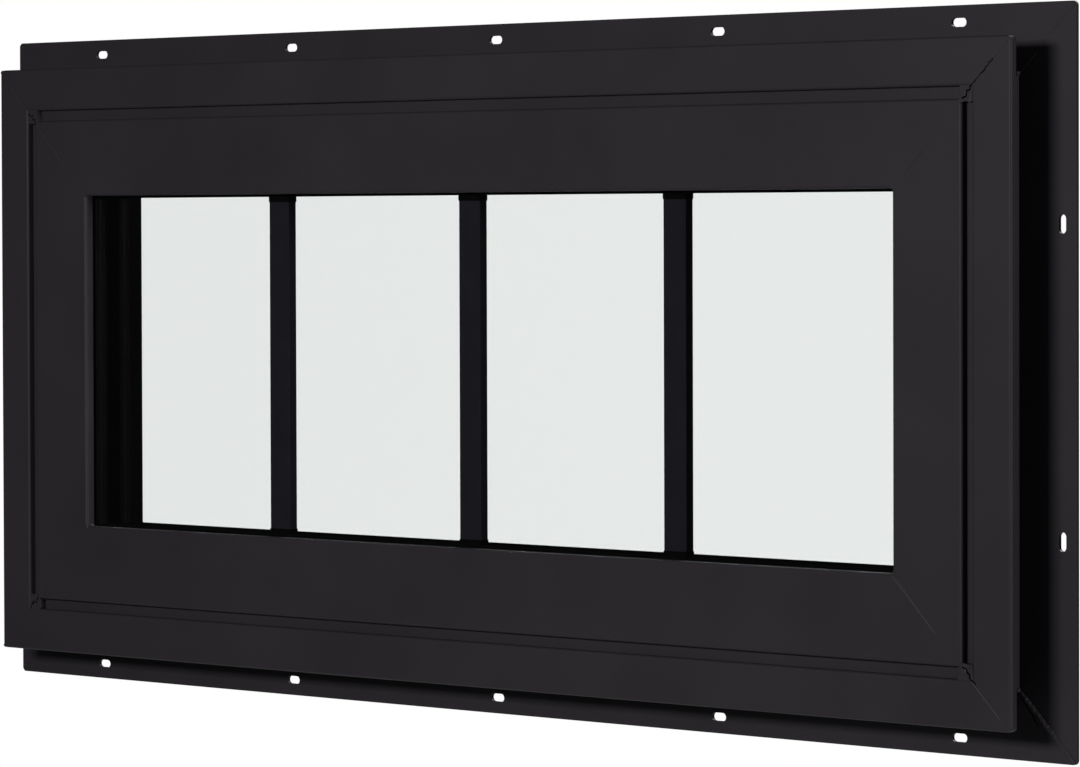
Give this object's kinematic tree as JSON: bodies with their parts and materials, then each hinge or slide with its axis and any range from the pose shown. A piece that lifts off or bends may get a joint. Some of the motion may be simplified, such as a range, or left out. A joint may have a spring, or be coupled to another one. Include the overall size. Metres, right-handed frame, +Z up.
{
  "type": "fixed transom window",
  "caption": "Low wide fixed window with a nailing fin, a siding channel round a flat black frame, and double glazing with upright grid bars.",
  "frame": {"origin": "on the back face of the nailing fin, at the middle of the bottom fin", "axes": "+X along the window's width, to the right seen from the street; +Y into the wall, out of the fin's back face; +Z up"},
  "size_m": [0.635, 0.0452, 0.3048],
  "materials": {
    "black_vinyl": "satin",
    "clear_glass": "clear",
    "spacer": "matte",
    "glazing_tape": "matte",
    "gasket": "matte",
    "grid_clip": "matte",
    "grid_bar": "satin"
  },
  "bodies": {
    "root": {"frame_head": "black_vinyl", "frame_sill": "black_vinyl", "frame_jamb_left": "black_vinyl", "frame_jamb_right": "black_vinyl", "glazing_bead_head": "black_vinyl", "glazing_tape_head": "glazing_tape", "spacer_head": "spacer", "bead_gasket_head": "gasket", "glazing_bead_sill": "black_vinyl", "glazing_tape_sill": "glazing_tape", "spacer_sill": "spacer", "bead_gasket_sill": "gasket", "glazing_bead_jamb_left": "black_vinyl", "glazing_tape_jamb_left": "glazing_tape", "spacer_jamb_left": "spacer", "bead_gasket_jamb_left": "gasket", "glazing_bead_jamb_right": "black_vinyl", "glazing_tape_jamb_right": "glazing_tape", "spacer_jamb_right": "spacer", "bead_gasket_jamb_right": "gasket", "outer_pane": "clear_glass", "inner_pane": "clear_glass", "grid_bar_1": "grid_bar", "grid_clip_1_top": "grid_clip", "grid_clip_1_bottom": "grid_clip", "grid_bar_2": "grid_bar", "grid_clip_2_top": "grid_clip", "grid_clip_2_bottom": "grid_clip", "grid_bar_3": "grid_bar", "grid_clip_3_top": "grid_clip", "grid_clip_3_bottom": "grid_clip"}
  },
  "joints": []
}
